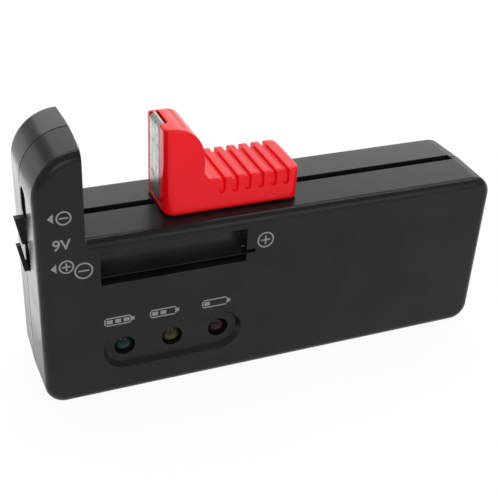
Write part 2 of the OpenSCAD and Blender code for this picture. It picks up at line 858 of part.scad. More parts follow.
module button_cell_leads() {
    color("black") {
        bay_lead(bay_x0 + bay_tail + tail_width / 2, bay_strip_z + bay_strip_height / 2);
        bay_lead(bay_x1 + slit_length / 2, slit_z + slit_height / 2);
    }
}

// The slider seen from the front: a round-shouldered post and a low ribbed part
module slider_profile() {
    axis_x = post_right - slider_shoulder_radius;
    axis_z = slider_top - slider_shoulder_radius;
    blend_x = post_right + slider_blend_radius;
    blend_z = slider_low_top + slider_blend_radius;
    polygon(concat(
        [[slider_left, slider_base], [slider_left, slider_top]],
        arc(axis_x, axis_z, slider_shoulder_radius, 90, 0, 16),
        arc(blend_x, blend_z, slider_blend_radius, 180, 270, 8),
        arc(slider_right - slider_end_radius, slider_low_top - slider_end_radius, slider_end_radius,
            90, 0, 6),
        [[slider_right, slider_base]]));
}

// One groove over the top of the slider and down both sides
module finger_groove(x) {
    low = slider_low_top - groove_drop;
    r = groove_width / 2;
    difference() {
        along_y(-slider_depth, slider_depth) {
            panel(x - r, x + r, low + r, slider_low_top + past);
            translate([x, low + r]) circle(r);
        }
        block(x - groove_width, x + groove_width, -slider_depth / 2 + groove_depth,
              slider_depth / 2 - groove_depth, slider_base, slider_low_top - groove_depth);
    }
}

// The slider's body between its tapered front and back faces
module slider_body() {
    half = slider_depth / 2;
    intersection() {
        along_y(-half, half) slider_profile();
        translate([0, 0, slider_base - past]) linear_extrude(slider_post_height + 2 * past)
            round_panel(slider_left, slider_right, -half, half, slider_corner_radius);
        along_x(slider_left, slider_right) polygon(concat(
            [[half, slider_base], [-half, slider_base], [slider_taper - half, slider_top]],
            arc(half - slider_taper - slider_rear_radius, slider_top - slider_rear_radius,
                slider_rear_radius, 90, 0, 12)));
    }
}

// The recess of the pad, the notch for its bent top, and the way of its tail
module slider_contact_cuts() {
    pad_side = pad_width / 2 + pad_fit;
    tail_side = tail_width / 2 + pad_fit;
    block(slider_left - past, slider_left + strip, -pad_side, pad_side,
          slider_pad_base - pad_fit, slider_top);
    block(slider_left - past, slider_left + notch_width, -pad_side, pad_side,
          notch_base, slider_top + past);
    block(slider_left - past, tail_left + strip + pad_fit, -tail_side, tail_side,
          slider_pad_base - pad_fit, slider_pad_base + strip + pad_fit);
    block(tail_left - pad_fit, tail_left + strip + pad_fit, -tail_side, tail_side,
          slider_base - past, slider_pad_base + strip);
}

module slider() {
    last = slider_right - groove_margin - groove_width / 2;
    color("#d81f26") {
        difference() {
            slider_body();
            for (i = [0 : groove_count - 1])
                finger_groove(last - i * groove_pitch);
            slider_contact_cuts();
        }
        block(slider_left, tail_left - pad_fit, -neck_depth / 2, neck_depth / 2, foot_top,
              slider_base + seam);
        block(foot_left, foot_right, -neck_depth / 2, neck_depth / 2, foot_base + seam,
              slider_base + seam);
        block(foot_left, foot_right, -foot_depth / 2, foot_depth / 2, foot_base, foot_top);
    }
}

// The slider's pad in its recess, bent over into the notch, and its tail to the wiper
module slider_contact() {
    x = slider_left;
    bend_x = x + pad_bend;
    pad_back = x + strip;
    lap_end = pad_crest - pad_lap;
    tail_right = tail_left + strip;
    color("silver") {
        along_y(-pad_width / 2, pad_width / 2) polygon([
            [x, slider_pad_base], [x, slider_pad_top], [bend_x, pad_crest], [bend_x + strip, pad_crest],
            [bend_x + strip, lap_end], [bend_x, lap_end], [bend_x, pad_crest - 1.5 * strip],
            [pad_back, slider_pad_top - strip / 4], [pad_back, slider_pad_base]]);
        along_y(-tail_width / 2, tail_width / 2) polygon([
            [x, slider_pad_base], [tail_left, slider_pad_base], [tail_left, foot_base - strip],
            [wiper_start, foot_base - strip], [wiper_tip, wiper_low],
            [wiper_tip + wiper_end, wiper_low + wiper_lift],
            [wiper_tip + wiper_end, wiper_low + wiper_lift + strip], [wiper_tip, wiper_low + strip],
            [wiper_start, foot_base], [tail_right, foot_base], [tail_right, slider_pad_base + strip],
            [x, slider_pad_base + strip]]);
    }
}

front_shell();
rear_shell();
case_screws();
circuit_board();
board_screws();
led(0);  // led_green
led(1);  // led_yellow
led(2);  // led_red
control_chip();
small_resistors();
load_resistors();
capacitor();
choke();
tower_contact();
contact_rail();
nine_volt_negative_contact();
nine_volt_positive_contact();
button_cell_negative_contact();
button_cell_positive_contact();
tower_lead();
rail_lead();
nine_volt_leads();
button_cell_leads();
slider();
slider_contact();
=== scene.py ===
"""Looks of a pocket battery tester: black two-part case, red sliding contact, three lamps."""

import json
import logging
import math
from dataclasses import dataclass, field
from enum import Enum

import bmesh
import bpy
from mathutils import Matrix, Vector

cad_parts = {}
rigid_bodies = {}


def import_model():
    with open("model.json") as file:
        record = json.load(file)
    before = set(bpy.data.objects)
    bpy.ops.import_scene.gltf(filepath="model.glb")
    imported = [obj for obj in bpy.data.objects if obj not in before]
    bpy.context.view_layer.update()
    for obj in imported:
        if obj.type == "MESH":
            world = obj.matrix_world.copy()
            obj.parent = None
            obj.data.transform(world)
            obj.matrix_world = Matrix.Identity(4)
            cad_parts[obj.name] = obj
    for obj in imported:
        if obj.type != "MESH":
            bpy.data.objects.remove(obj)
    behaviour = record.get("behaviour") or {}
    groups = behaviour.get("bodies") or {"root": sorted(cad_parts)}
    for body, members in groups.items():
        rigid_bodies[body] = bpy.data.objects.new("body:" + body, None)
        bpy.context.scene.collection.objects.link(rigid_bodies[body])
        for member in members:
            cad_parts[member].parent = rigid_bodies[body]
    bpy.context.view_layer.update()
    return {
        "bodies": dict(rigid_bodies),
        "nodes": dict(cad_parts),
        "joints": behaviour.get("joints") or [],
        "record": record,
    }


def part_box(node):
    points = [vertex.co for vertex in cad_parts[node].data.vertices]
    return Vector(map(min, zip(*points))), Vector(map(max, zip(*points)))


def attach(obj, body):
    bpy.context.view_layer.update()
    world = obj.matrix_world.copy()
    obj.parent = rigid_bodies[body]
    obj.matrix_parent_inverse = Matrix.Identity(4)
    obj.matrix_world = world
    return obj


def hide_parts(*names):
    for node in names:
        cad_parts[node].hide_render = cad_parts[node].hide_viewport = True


MM = 0.001
LOG = logging.getLogger("battery_tester")


class Body(Enum):
    """The two bodies of the frame that pieces ride on."""

    CASE = "case"
    SLIDER = "slider"


class Mark(Enum):
    """Kinds of printed polarity marks."""

    MINUS = "minus"
    PLUS = "plus"


# ---------------------------------------------------------------- node graphs


class Graph:
    """A small helper that adds and links nodes in one node tree."""

    def __init__(self, tree: bpy.types.NodeTree) -> None:
        """Keep the tree that the nodes go into."""
        self.tree = tree
        self.nodes = tree.nodes
        self.links = tree.links

    def add(self, kind: str, inputs: dict | None = None, **settings: object) -> bpy.types.Node:
        """Add a node.

        Args:
            kind: the node's type name without its ShaderNode prefix.
            inputs: a value or an output socket for each named or numbered input.
            settings: attributes to set on the node.

        Returns:
            The new node.
        """
        node = self.nodes.new("ShaderNode" + kind)
        for name, value in settings.items():
            setattr(node, name, value)
        for name, value in (inputs or {}).items():
            if isinstance(value, bpy.types.NodeSocket):
                self.links.new(value, node.inputs[name])
            else:
                node.inputs[name].default_value = value
        return node

    def math(self, operation: str, *values: object) -> bpy.types.NodeSocket:
        """Add a Math node on values or sockets and return its output."""
        return self.add("Math", dict(enumerate(values)), operation=operation).outputs[0]

    def span(self, value: object, low: float, high: float, to_low: float = 0.0,
             to_high: float = 1.0) -> bpy.types.NodeSocket:
        """Map a range of a value smoothly to another range and return the output."""
        node = self.add("MapRange", {0: value, 1: low, 2: high, 3: to_low, 4: to_high},
                        interpolation_type="SMOOTHSTEP")
        return node.outputs[0]

    def mix(self, mask: object, first: object, second: object) -> bpy.types.NodeSocket:
        """Mix two colours by a mask and return the colour."""
        return self.add("Mix", {0: mask, 6: first, 7: second}, data_type="RGBA").outputs[2]

    def place(self) -> bpy.types.NodeSocket:
        """Return the object coordinates."""
        return self.add("TexCoord").outputs["Object"]

    def axes(self) -> dict[str, bpy.types.NodeSocket]:
        """Return the object coordinates' three parts by their names X, Y and Z."""
        outputs = self.add("SeparateXYZ", {0: self.place()}).outputs
        return {label: outputs[label] for label in "XYZ"}

    def length(self, first: object, second: object) -> bpy.types.NodeSocket:
        """Return the length of a flat vector from its two parts."""
        squares = [self.math("MULTIPLY", part, part) for part in (first, second)]
        return self.math("SQRT", self.math("ADD", *squares))

    def away(self, value: object, middle: float) -> bpy.types.NodeSocket:
        """Return how far a value lies from a middle, either way."""
        return self.math("ABSOLUTE", self.math("SUBTRACT", value, middle))

    def feed(self, node: bpy.types.Node, sockets: dict[str, bpy.types.NodeSocket]) -> None:
        """Link outputs to a node's named inputs."""
        for label, socket in sockets.items():
            self.links.new(socket, node.inputs[label])

    def bump(self, shader: bpy.types.Node, height: object, strength: float, distance: float,
             edge: float | None = None) -> None:
        """Give a shader a bumped normal.

        Args:
            shader: the shader node.
            height: the height as an output.
            strength: how strongly it shows.
            distance: the height's reach in metres.
            edge: the radius of softened edges in metres, or None for none.
        """
        values = {"Strength": strength, "Distance": distance, "Height": height}
        if edge is not None:
            values["Normal"] = self.add("Bevel", {"Radius": edge}, samples=4).outputs[0]
        self.feed(shader, {"Normal": self.add("Bump", values).outputs[0]})


def shade_group(name: str, inputs: dict[str, float], outputs: list[str]
                ) -> tuple[bpy.types.NodeTree, Graph, bpy.types.Node, bpy.types.Node]:
    """Start a shader node group with named float inputs and outputs.

    Args:
        name: the group's name.
        inputs: each input's name and default value.
        outputs: the outputs' names.

    Returns:
        The tree, a graph on it, its input node and its output node.
    """
    tree = bpy.data.node_groups.new(name, "ShaderNodeTree")
    for label, value in inputs.items():
        tree.interface.new_socket(label, in_out="INPUT", socket_type="NodeSocketFloat").default_value = value
    for label in outputs:
        tree.interface.new_socket(label, in_out="OUTPUT", socket_type="NodeSocketFloat")
    graph = Graph(tree)
    return tree, graph, tree.nodes.new("NodeGroupInput"), tree.nodes.new("NodeGroupOutput")


class SharedEffects:
    """Node groups that several finishes use: moulded grain, handling wear and drawn metal."""

    EVEN = (1.0, 1.0, 1.0)
    MOTTLE_SCALE = 90.0
    SCRATCHES = ((0.35, (60.0, 2600.0, 2600.0)), (-0.6, (2400.0, 80.0, 2400.0)))
    SCRATCH_TILT = 0.7
    PATCH_SCALE = 70.0
    SMEAR_STRETCH = (1.0, 0.5, 1.6)
    SMEAR_SCALE = 55.0
    ROLLED_STRETCH = (900.0, 2200.0, 120.0)
    STAIN_SCALE = 420.0

    def __init__(self) -> None:
        """Build every group once."""
        self.grain = self._grain()
        self.handling = self._handling()
        self.drawn = self._drawn()

    @staticmethod
    def _mapped(graph: Graph, scale: tuple[float, float, float],
                turn: tuple[float, float, float] = (0.0, 0.0, 0.0)) -> bpy.types.NodeSocket:
        """Return object coordinates turned and stretched."""
        return graph.add("Mapping", {0: graph.place(), 2: turn, 3: scale}).outputs[0]

    @staticmethod
    def _noise(graph: Graph, place: bpy.types.NodeSocket, scale: object, detail: float,
               roughness: float = 0.5, distortion: float = 0.0) -> bpy.types.NodeSocket:
        """Return a noise at a place."""
        return graph.add("TexNoise", {"Vector": place, "Scale": scale, "Detail": detail, "Roughness": roughness,
                                      "Distortion": distortion}).outputs["Fac"]

    def _grain(self) -> bpy.types.NodeTree:
        """Fine surface of an eroded mould: a height and a light mottling."""
        tree, graph, given, out = shade_group("moulded_grain", {"Size": 3200.0}, ["Height", "Mottle"])
        place = self._mapped(graph, self.EVEN)
        fine = self._noise(graph, place, given.outputs["Size"], 2.0, 0.6)
        broad = self._noise(graph, place, self.MOTTLE_SCALE, 4.0, 0.55)
        graph.feed(out, {"Height": graph.span(fine, 0.3, 0.7), "Mottle": graph.span(broad, 0.35, 0.65)})
        return tree

    def _handling(self) -> bpy.types.NodeTree:
        """Marks of handling: fine scratches and soft smears."""
        tree, graph, given, out = shade_group("handling_wear", {"Amount": 1.0}, ["Scratches", "Smears"])
        sets = []
        for turn, stretch in self.SCRATCHES:
            place = self._mapped(graph, stretch, (turn, turn * self.SCRATCH_TILT, turn))
            sets.append(graph.span(self._noise(graph, place, 1.0, 1.0), 0.72, 0.76))
        patches = self._noise(graph, self._mapped(graph, self.EVEN), self.PATCH_SCALE, 3.0)
        lines = graph.math("MULTIPLY", graph.math("MAXIMUM", *sets), graph.span(patches, 0.5, 0.68))
        smears = self._noise(graph, self._mapped(graph, self.SMEAR_STRETCH), self.SMEAR_SCALE, 5.0, 0.6, 0.8)
        amount = given.outputs["Amount"]
        graph.feed(out, {"Scratches": graph.math("MULTIPLY", lines, amount),
                         "Smears": graph.math("MULTIPLY", graph.span(smears, 0.4, 0.7), amount)})
        return tree

    def _drawn(self) -> bpy.types.NodeTree:
        """Rolled strip metal: long fine lines along Z and X and light staining."""
        tree, graph, given, out = shade_group("drawn_metal", {"Fineness": 1.0}, ["Lines", "Stain"])
        place = self._mapped(graph, self.ROLLED_STRETCH)
        lines = self._noise(graph, place, given.outputs["Fineness"], 4.0, 0.65)
        stain = self._noise(graph, graph.place(), self.STAIN_SCALE, 5.0, 0.7, 0.5)
        graph.feed(out, {"Lines": graph.span(lines, 0.3, 0.7), "Stain": graph.span(stain, 0.45, 0.7)})
        return tree


Colour = tuple[float, float, float, float]


def grey(level: float) -> Colour:
    """Return a grey of a linear level."""
    return (level, level, level, 1.0)


def start_material(name: str, sockets: dict[str, object]) -> tuple[bpy.types.Material, Graph, bpy.types.Node]:
    """Start a material with a Principled shader.

    Args:
        name: the material's name.
        sockets: constants for the shader's own sockets.

    Returns:
        The material, a graph on its tree and the shader node.
    """
    material = bpy.data.materials.new(name)
    material.use_nodes = True
    graph = Graph(material.node_tree)
    shader = material.node_tree.nodes["Principled BSDF"]
    for label, value in sockets.items():
        shader.inputs[label].default_value = value
    return material, graph, shader


def use_group(graph: Graph, tree: bpy.types.NodeTree, **values: float) -> bpy.types.Node:
    """Place a shared group in a material with its own values."""
    node = graph.nodes.new("ShaderNodeGroup")
    node.node_tree = tree
    for label, value in values.items():
        node.inputs[label].default_value = value
    return node


# ---------------------------------------------------------------- finishes


@dataclass(frozen=True)
class MouldedPlastic:
    """A moulded plastic with eroded grain, smears and fine scratches."""

    name: str
    base: Colour
    light: Colour
    roughness: float = 0.36
    spread: float = 0.08
    grain: float = 0.002
    grain_size: float = 3200.0
    wear: float = 1.0
    edge: float = 0.0002
    specular: float = 0.5

    def build(self, effects: SharedEffects) -> bpy.types.Material:
        """Build the material from the shared effects."""
        material, graph, shader = start_material(self.name, {"Specular IOR Level": self.specular})
        grain = use_group(graph, effects.grain, Size=self.grain_size)
        wear = use_group(graph, effects.handling, Amount=self.wear)
        tint = graph.math("MULTIPLY", grain.outputs["Mottle"], 0.6)
        tint = graph.math("MAXIMUM", tint, wear.outputs["Scratches"])
        rough = graph.math("MULTIPLY_ADD", grain.outputs["Mottle"], self.spread * 0.5, self.roughness)
        rough = graph.math("MULTIPLY_ADD", wear.outputs["Smears"], self.spread, rough)
        rough = graph.math("MULTIPLY_ADD", wear.outputs["Scratches"], self.spread, rough)
        graph.feed(shader, {"Base Color": graph.mix(tint, self.base, self.light), "Roughness": rough})
        graph.bump(shader, grain.outputs["Height"], 0.35, self.grain * MM, self.edge)
        return material


@dataclass(frozen=True)
class PlatedStrip:
    """Nickel-plated strip metal with rolling lines and light stains."""

    name: str
    base: Colour = (0.47, 0.465, 0.455, 1.0)
    dull: Colour = (0.15, 0.147, 0.143, 1.0)
    roughness: float = 0.24
    line_height: float = 0.00001
    edge: float = 0.00008

    def build(self, effects: SharedEffects) -> bpy.types.Material:
        """Build the material from the shared effects."""
        material, graph, shader = start_material(self.name, {"Metallic": 1.0})
        drawn = use_group(graph, effects.drawn, Fineness=1.0)
        lines, stain = drawn.outputs["Lines"], drawn.outputs["Stain"]
        mask = graph.math("MAXIMUM", graph.math("MULTIPLY", lines, 0.55), stain)
        rough = graph.math("MULTIPLY_ADD", lines, 0.16, self.roughness)
        rough = graph.math("MULTIPLY_ADD", stain, 0.14, rough)
        graph.feed(shader, {"Base Color": graph.mix(mask, self.base, self.dull), "Roughness": rough})
        graph.bump(shader, lines, 0.3, self.line_height, self.edge)
        return material


@dataclass(frozen=True)
class LampLens:
    """The tinted resin of an unlit lamp: deep above, with a paler lower half painted as light and a darker rim
    painted as shade.
    """

    name: str
    deep: Colour
    # The paler colour is painted light gathered in the lower half of the dome.
    pale: Colour
    centre: tuple[float, float]
    board: float
    radius: float = 2.4
    leg: Colour = (0.6, 0.6, 0.58, 1.0)

    def build(self) -> bpy.types.Material:
        """Build the material; the legs behind the board's front are tinned wire."""
        material, graph, shader = start_material(self.name, {"Specular IOR Level": 0.16})
        axes = graph.axes()
        across, up = (graph.math("DIVIDE", graph.math("SUBTRACT", axes[label], middle * MM), self.radius * MM)
                      for label, middle in zip("XZ", self.centre))
        cloud = graph.add("TexNoise", {"Vector": graph.place(), "Scale": 1300.0, "Detail": 3.0}).outputs["Fac"]
        # Painted light: the lower half, with a cloudy edge, is mixed towards the paler colour.
        below = graph.span(graph.math("MULTIPLY_ADD", cloud, 0.35, up), -0.12, 0.42, 1.0, 0.0)
        # Painted shade: towards the rim the mix falls back to the deep colour.
        inside = graph.span(graph.length(across, up), 0.72, 0.95, 1.0, 0.12)
        colour = graph.mix(graph.math("MULTIPLY", below, inside), self.deep, self.pale)
        legs = graph.span(axes["Y"], (self.board - 0.05) * MM, self.board * MM)
        rough = graph.math("MULTIPLY_ADD", legs, 0.2, graph.math("MULTIPLY_ADD", cloud, 0.06, 0.07))
        graph.feed(shader, {"Base Color": graph.mix(legs, colour, self.leg), "Metallic": legs, "Roughness": rough})
        return material


@dataclass(frozen=True)
class PrintedInk:
    """Light grey printing ink with slightly uneven cover."""

    name: str
    base: Colour = grey(0.27)
    thin: Colour = grey(0.18)

    def build(self, effects: SharedEffects) -> bpy.types.Material:
        """Build the material from the shared effects."""
        material, graph, shader = start_material(self.name, {"Specular IOR Level": 0.3})
        grain = use_group(graph, effects.grain, Size=6000.0)
        cover = graph.math("MULTIPLY", grain.outputs["Height"], 0.5)
        graph.feed(shader, {"Base Color": graph.mix(cover, self.base, self.thin),
                            "Roughness": graph.math("MULTIPLY_ADD", grain.outputs["Mottle"], 0.1, 0.5)})
        return material


@dataclass(frozen=True)
class BandedBody:
    """Lacquered resistors with colour bands and tinned leads, lying along X in equal steps."""

    name: str
    coat: Colour
    bands: tuple
    centre: float
    half: float
    pitch: float = 100.0
    band: float = 0.6
    roughness: float = 0.3
    aged: float = 0.72
    lead: Colour = (0.6, 0.58, 0.55, 1.0)

    def build(self, effects: SharedEffects) -> bpy.types.Material:
        """Build the material; lengths are in millimetres."""
        material, graph, shader = start_material(self.name, {"Specular IOR Level": 0.45})
        start = (self.centre - self.pitch / 2) * MM
        near = graph.math("WRAP", graph.axes()["X"], start + self.pitch * MM, start)
        along = graph.math("SUBTRACT", near, self.centre * MM)
        grain = use_group(graph, effects.grain, Size=2600.0)
        aged = tuple(self.aged * c for c in self.coat[:3]) + (1.0,)
        colour = graph.mix(graph.math("MULTIPLY", grain.outputs["Mottle"], 0.6), self.coat, aged)
        for offset, ink in self.bands:
            mask = graph.span(graph.away(along, offset * MM), self.band * 0.5 * MM, self.band * 0.58 * MM, 1.0, 0.0)
            colour = graph.mix(mask, colour, ink)
        leads = graph.span(graph.math("ABSOLUTE", along), self.half * MM, (self.half + 0.01) * MM)
        rough = graph.math("MULTIPLY_ADD", grain.outputs["Height"], 0.08, self.roughness)
        graph.feed(shader, {"Base Color": graph.mix(leads, colour, self.lead), "Metallic": leads, "Roughness": rough})
        graph.bump(shader, grain.outputs["Height"], 0.25, 0.00001)
        return material


@dataclass(frozen=True)
class WoundCore:
    """A ferrite drum standing along Y with enamelled wire wound between its rims, each turn painted darker in its
    grooves and lighter on its crest.
    """

    name: str
    low: float
    high: float
    rim: float = 0.9
    wire: float = 0.36
    ferrite: tuple[Colour, Colour] = ((0.02, 0.02, 0.022, 1.0), (0.05, 0.048, 0.045, 1.0))
    # The wire's painted shade in the grooves between turns, then its painted highlight on each turn's crest.
    enamel_shade_and_highlight: tuple[Colour, Colour] = ((0.10, 0.025, 0.008, 1.0), (0.58, 0.19, 0.06, 1.0))

    def build(self, effects: SharedEffects) -> bpy.types.Material:
        """Build the material; lengths are in millimetres."""
        material, graph, shader = start_material(self.name, {"Specular IOR Level": 0.5})
        y = graph.axes()["Y"]
        reach = (self.high - self.low) / 2 - self.rim
        wound = graph.span(graph.away(y, (self.low + self.high) / 2 * MM), (reach - 0.02) * MM, (reach + 0.02) * MM,
                           1.0, 0.0)
        turns = graph.math("DIVIDE", graph.math("PINGPONG", y, self.wire * MM / 2), self.wire * MM / 2)
        # The profile across each turn, used for the bump and for the painted shade and highlight.
        ridge_and_painted_shade = graph.math("MULTIPLY", graph.math("SQRT", turns), wound)
        grain = use_group(graph, effects.grain, Size=4200.0)
        core = graph.mix(grain.outputs["Mottle"], *self.ferrite)
        # Painted shade and highlight: each turn of wire darker in its grooves and lighter on its crest.
        copper = graph.mix(ridge_and_painted_shade, *self.enamel_shade_and_highlight)
        graph.feed(shader, {"Base Color": graph.mix(wound, core, copper),
                            "Metallic": graph.math("MULTIPLY", wound, 0.6),
                            "Roughness": graph.math("MULTIPLY_ADD", wound, -0.25, 0.6)})
        graph.bump(shader, graph.math("MULTIPLY_ADD", grain.outputs["Height"], 0.08, ridge_and_painted_shade), 0.6, 0.00008)
        return material


@dataclass(frozen=True)
class SleevedCan:
    """A capacitor's can along Y: a shrunk sleeve with a pale stripe and a scored metal top whose score lines are
    painted darker as shade.
    """

    name: str
    centre: tuple[float, float]
    top: float
    radius: float
    sleeve: tuple[Colour, Colour] = ((0.012, 0.03, 0.13, 1.0), (0.02, 0.045, 0.18, 1.0))
    stripe: Colour = (0.55, 0.58, 0.62, 1.0)
    # The bare top's own grey, then the darker grey painted as shade in its score lines.
    metal: tuple[Colour, Colour] = (grey(0.72), grey(0.2))

    def build(self, effects: SharedEffects) -> bpy.types.Material:
        """Build the material; lengths are in millimetres."""
        material, graph, shader = start_material(self.name, {"Specular IOR Level": 0.5})
        axes = graph.axes()
        x, z = (graph.math("SUBTRACT", axes[label], middle * MM) for label, middle in zip("XZ", self.centre))
        inside = graph.span(graph.length(x, z), (self.radius - 0.55) * MM, (self.radius - 0.45) * MM, 1.0, 0.0)
        bare = graph.math("MULTIPLY", graph.span(axes["Y"], (self.top - 0.03) * MM, (self.top - 0.01) * MM), inside)
        cross = graph.math("MINIMUM", graph.math("ABSOLUTE", x), graph.math("ABSOLUTE", z))
        # The score lines on the top: a groove in the bump and painted shade in the colour.
        score_and_painted_shade = graph.math("MULTIPLY", graph.span(cross, 0.05 * MM, 0.14 * MM, 1.0, 0.0), bare)
        striped = graph.span(z, (0.62 * self.radius) * MM, (0.66 * self.radius) * MM)
        grain = use_group(graph, effects.grain, Size=1800.0)
        sleeve = graph.mix(striped, graph.mix(grain.outputs["Mottle"], *self.sleeve), self.stripe)
        graph.feed(shader, {"Base Color": graph.mix(bare, sleeve, graph.mix(score_and_painted_shade, *self.metal)), "Metallic": bare,
                            "Roughness": graph.math("MULTIPLY_ADD", grain.outputs["Mottle"], 0.1, 0.26)})
        height = graph.math("SUBTRACT", graph.math("MULTIPLY", grain.outputs["Height"], 0.1), score_and_painted_shade)
        graph.bump(shader, height, 0.5, 0.00006)
        return material


@dataclass(frozen=True)
class CoatedBoard:
    """A circuit board lying in X and Z: green mask over copper tracks, bare laminate edges."""

    name: str
    front: float
    back: float
    row: float = 2.54
    track: float = 0.28
    track_rows: float = 4.2
    mask: tuple[Colour, Colour] = ((0.008, 0.075, 0.03, 1.0), (0.012, 0.10, 0.045, 1.0))
    covered: Colour = (0.03, 0.19, 0.075, 1.0)
    glass: tuple[Colour, Colour] = ((0.42, 0.36, 0.2, 1.0), (0.6, 0.54, 0.36, 1.0))
    layers: tuple[float, float, float] = (300.0, 9000.0, 300.0)

    def build(self, effects: SharedEffects) -> bpy.types.Material:
        """Build the material; lengths are in millimetres."""
        material, graph, shader = start_material(self.name, {"Specular IOR Level": 0.5})
        axes = graph.axes()
        flat = graph.add("CombineXYZ", {0: axes["X"], 1: axes["Z"], 2: 0.0}).outputs[0]
        tracks = graph.add("TexBrick", {
            "Vector": flat, "Color1": grey(0.0), "Color2": grey(0.0), "Mortar": grey(1.0), "Scale": 1.0,
            "Mortar Size": self.track * MM, "Mortar Smooth": 0.1,
            "Brick Width": self.track_rows * self.row * MM, "Row Height": self.row * MM})
        gaps = graph.add("TexNoise", {"Vector": flat, "Scale": 130.0, "Detail": 1.0}).outputs["Fac"]
        track = graph.math("MULTIPLY", tracks.outputs["Color"], graph.span(gaps, 0.48, 0.5))
        grain = use_group(graph, effects.grain, Size=1500.0)
        mask = graph.mix(track, graph.mix(grain.outputs["Mottle"], *self.mask), self.covered)
        middle, half = (self.front + self.back) / 2, (self.back - self.front) / 2
        edge = graph.span(graph.away(axes["Y"], middle * MM), (half - 0.06) * MM, (half - 0.02) * MM, 1.0, 0.0)
        layered = graph.add("Mapping", {0: graph.place(), 3: self.layers}).outputs[0]
        layers = graph.add("TexNoise", {"Vector": layered, "Scale": 1.0}).outputs["Fac"]
        graph.feed(shader, {"Base Color": graph.mix(edge, mask, graph.mix(layers, *self.glass)),
                            "Roughness": graph.math("MULTIPLY_ADD", edge, 0.4, 0.32)})
        graph.bump(shader, track, 0.5, 0.00003)
        return material


# ---------------------------------------------------------------- mesh helpers


def to_object(name: str, mesh: bmesh.types.BMesh) -> bpy.types.Object:
    """Turn a bmesh into an object in the scene.

    Args:
        name: the object's name.
        mesh: the bmesh, which is freed.

    Returns:
        The new object.
    """
    data = bpy.data.meshes.new(name)
    mesh.to_mesh(data)
    mesh.free()
    obj = bpy.data.objects.new(name, data)
    bpy.context.scene.collection.objects.link(obj)
    return obj


def baked(obj: bpy.types.Object) -> bpy.types.Object:
    """Apply every modifier of an object into its mesh and return it."""
    bpy.context.view_layer.update()
    shown = obj.evaluated_get(bpy.context.evaluated_depsgraph_get())
    mesh = bpy.data.meshes.new_from_object(shown)
    obj.modifiers.clear()
    obj.data = mesh
    return obj


def combine(obj: bpy.types.Object, other: bpy.types.Object, operation: str) -> bpy.types.Object:
    """Apply a boolean between two objects and remove the second."""
    step = obj.modifiers.new("shape", "BOOLEAN")
    step.operation = operation
    step.object = other
    step.solver = "EXACT"
    baked(obj)
    bpy.data.objects.remove(other)
    return obj


def box(low: tuple[float, float, float], high: tuple[float, float, float]) -> bmesh.types.BMesh:
    """A box between two corners in millimetres."""
    mesh = bmesh.new()
    bmesh.ops.create_cube(mesh, size=1.0)
    a, b = Vector(low) * MM, Vector(high) * MM
    bmesh.ops.scale(mesh, vec=b - a, verts=mesh.verts)
    bmesh.ops.translate(mesh, vec=(a + b) / 2, verts=mesh.verts)
    return mesh


def arc(cx: float, cy: float, r: float, start: float, end: float, steps: int) -> list[tuple[float, float]]:
    """Points on an arc, with angles in degrees."""
    turns = (math.radians(start + (end - start) * i / steps) for i in range(steps + 1))
    return [(cx + r * math.cos(t), cy + r * math.sin(t)) for t in turns]


def drawn_out(points: list[tuple[float, float]], axis: int, low: float, high: float) -> bmesh.types.BMesh:
    """A flat outline drawn out along an axis.

    Args:
        points: the outline in the other two axes, in their order, in millimetres.
        axis: 0, 1 or 2 for X, Y or Z.
        low: where the shape starts on that axis.
        high: where it ends.

    Returns:
        The closed shape as a bmesh.
    """
    mesh = bmesh.new()
    verts = []
    for p in points:
        place = list(p)
        place.insert(axis, low)
        verts.append(mesh.verts.new(Vector(place) * MM))
    face = mesh.faces.new(verts)
    grown = bmesh.ops.extrude_face_region(mesh, geom=[face])
    reach = Vector((0.0, 0.0, 0.0))
    reach[axis] = (high - low) * MM
    bmesh.ops.translate(mesh, vec=reach, verts=[v for v in grown["geom"] if isinstance(v, bmesh.types.BMVert)])
    bmesh.ops.recalc_face_normals(mesh, faces=mesh.faces)
    return mesh


def ease(obj: bpy.types.Object, voxel: float, rounds: int) -> bpy.types.Object:
    """Remesh an object on an even grid and soften it.

    Args:
        obj: the object.
        voxel: the grid's step in millimetres.
        rounds: how often the surface is smoothed.

    Returns:
        The same object with the new mesh.
    """
    grid = obj.modifiers.new("grid", "REMESH")
    grid.mode, grid.voxel_size = "VOXEL", voxel * MM
    soft = obj.modifiers.new("ease", "SMOOTH")
    soft.factor, soft.iterations = 0.5, rounds
    return baked(obj)


def smooth(obj: bpy.types.Object) -> bpy.types.Object:
    """Shade an object smooth."""
    obj.data.polygons.foreach_set("use_smooth", [True] * len(obj.data.polygons))
    return obj


def dress(obj: bpy.types.Object, material: bpy.types.Material) -> bpy.types.Object:
    """Give an object one material in every slot."""
    obj.data.materials.clear()
    obj.data.materials.append(material)
    return obj


# ---------------------------------------------------------------- slider


